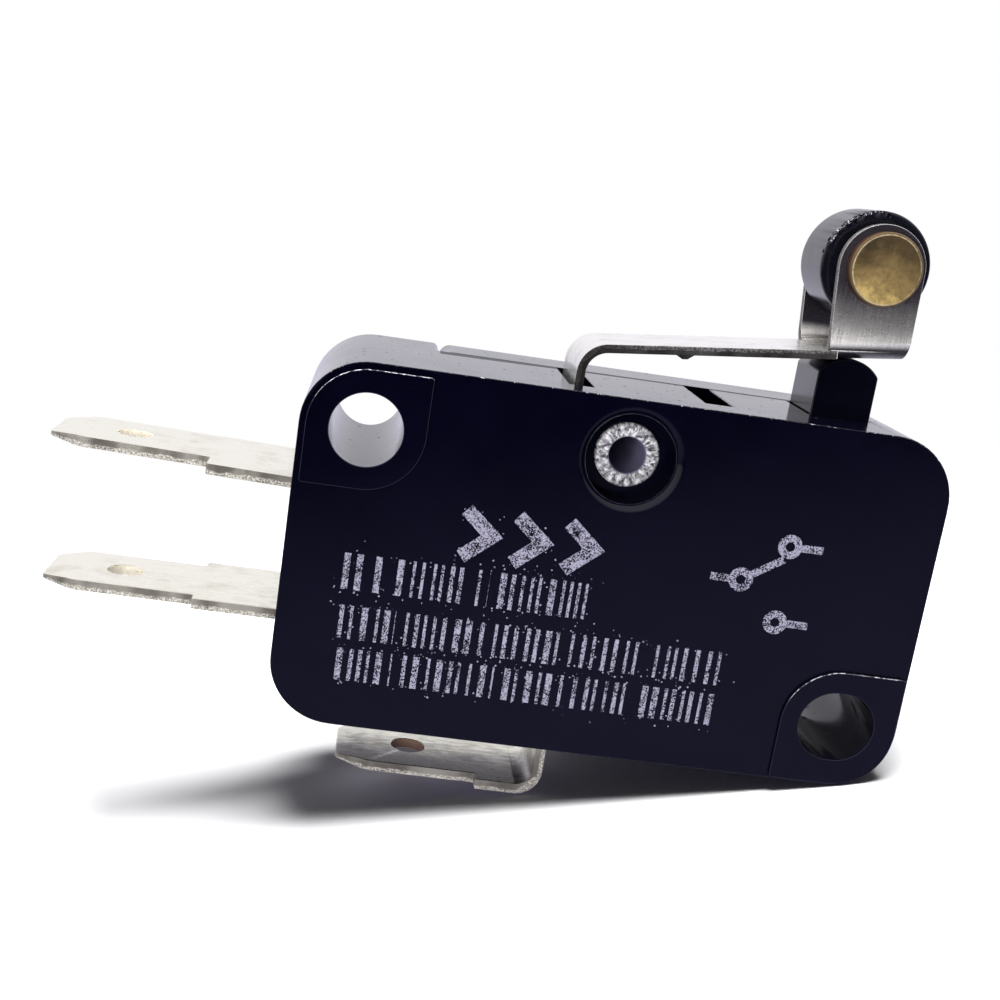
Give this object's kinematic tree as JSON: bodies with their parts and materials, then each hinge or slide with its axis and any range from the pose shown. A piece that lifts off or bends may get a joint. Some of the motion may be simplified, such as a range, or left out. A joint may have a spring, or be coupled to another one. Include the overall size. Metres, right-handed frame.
{
  "type": "limit switch",
  "caption": "Miniature snap-action limit switch: moulded housing, hinged roller lever over a plunger, push-on terminal tabs and a spring changeover contact inside.",
  "frame": {"origin": "centre of the rear mounting face, midway between the two mounting holes", "axes": "+X along the body towards the roller end, +Y out of the rear mounting face (the front face looks along -Y), +Z towards the plunger and roller"},
  "size_m": [0.0385, 0.0103, 0.028],
  "materials": {
    "housing_plastic": "glossy black moulded, faintly blue",
    "plunger_plastic": "glossy black moulded",
    "roller_plastic": "satin to gloss black moulded",
    "plated_rivet": "bright nickel plate with press marks",
    "stainless": "stainless strip, rolled finish",
    "brass": "plain brass, light tarnish",
    "tinned_brass": "tin plate, rough sheared edges",
    "contact_silver": "silver alloy, satin",
    "blade_copper": "rolled copper alloy strip",
    "spring_steel": "drawn wire"
  },
  "bodies": {
    "housing": {"case": "housing_plastic", "cover": "housing_plastic", "hollow_rivet": "plated_rivet", "common_terminal": "tinned_brass", "nc_terminal": "tinned_brass", "no_terminal": "tinned_brass", "nc_contact": "contact_silver", "no_contact": "contact_silver"},
    "lever": {"lever": "stainless", "roller_pin": "brass"},
    "roller": {"roller": "roller_plastic"},
    "plunger": {"plunger": "plunger_plastic"},
    "arm": {"actuating_arm": "stainless"},
    "blade": {"blade": "blade_copper", "moving_contact": "contact_silver"},
    "spring": {"snap_spring": "spring_steel"}
  },
  "joints": [
    {"name": "lever_hinge", "type": "hinge", "parent": "housing", "child": "lever", "pos_m": [-0.0023, -0.00515, 0.00675], "axis": [0, 1, 0], "range_deg": [0, 9.5], "stiffness_Nm_per_rad": 0.002, "springref_deg": -8.59},
    {"name": "roller_spin", "type": "hinge", "parent": "lever", "child": "roller", "pos_m": [0.0097, -0.00515, 0.01457], "axis": [0, 1, 0], "continuous": true},
    {"name": "plunger_slide", "type": "slide", "parent": "housing", "child": "plunger", "axis": [0, 0, -1], "range_m": [0, 0.00197]},
    {"name": "arm_hinge", "type": "hinge", "parent": "housing", "child": "arm", "pos_m": [-0.00085, -0.00515, 0.0014], "axis": [0, 1, 0], "range_deg": [0, 10.8]},
    {"name": "blade_hinge", "type": "hinge", "parent": "housing", "child": "blade", "pos_m": [-0.00168, -0.00515, -0.00005], "axis": [0, 1, 0], "range_deg": [-8.4, 0]},
    {"name": "spring_seat", "type": "hinge", "parent": "blade", "child": "spring", "pos_m": [-0.00587, -0.00515, 0.00039], "axis": [0, 1, 0], "range_deg": [0, 10.8]}
  ],
  "couplings": [
    {"joint": "plunger_slide", "follows": "lever_hinge", "m_per_rad": 0.011841},
    {"joint": "arm_hinge", "follows": "lever_hinge", "ratio": 1.133},
    {"joint": "blade_hinge", "follows": "lever_hinge", "ratio": -0.87848},
    {"joint": "spring_seat", "follows": "lever_hinge", "ratio": 1.1273}
  ]
}
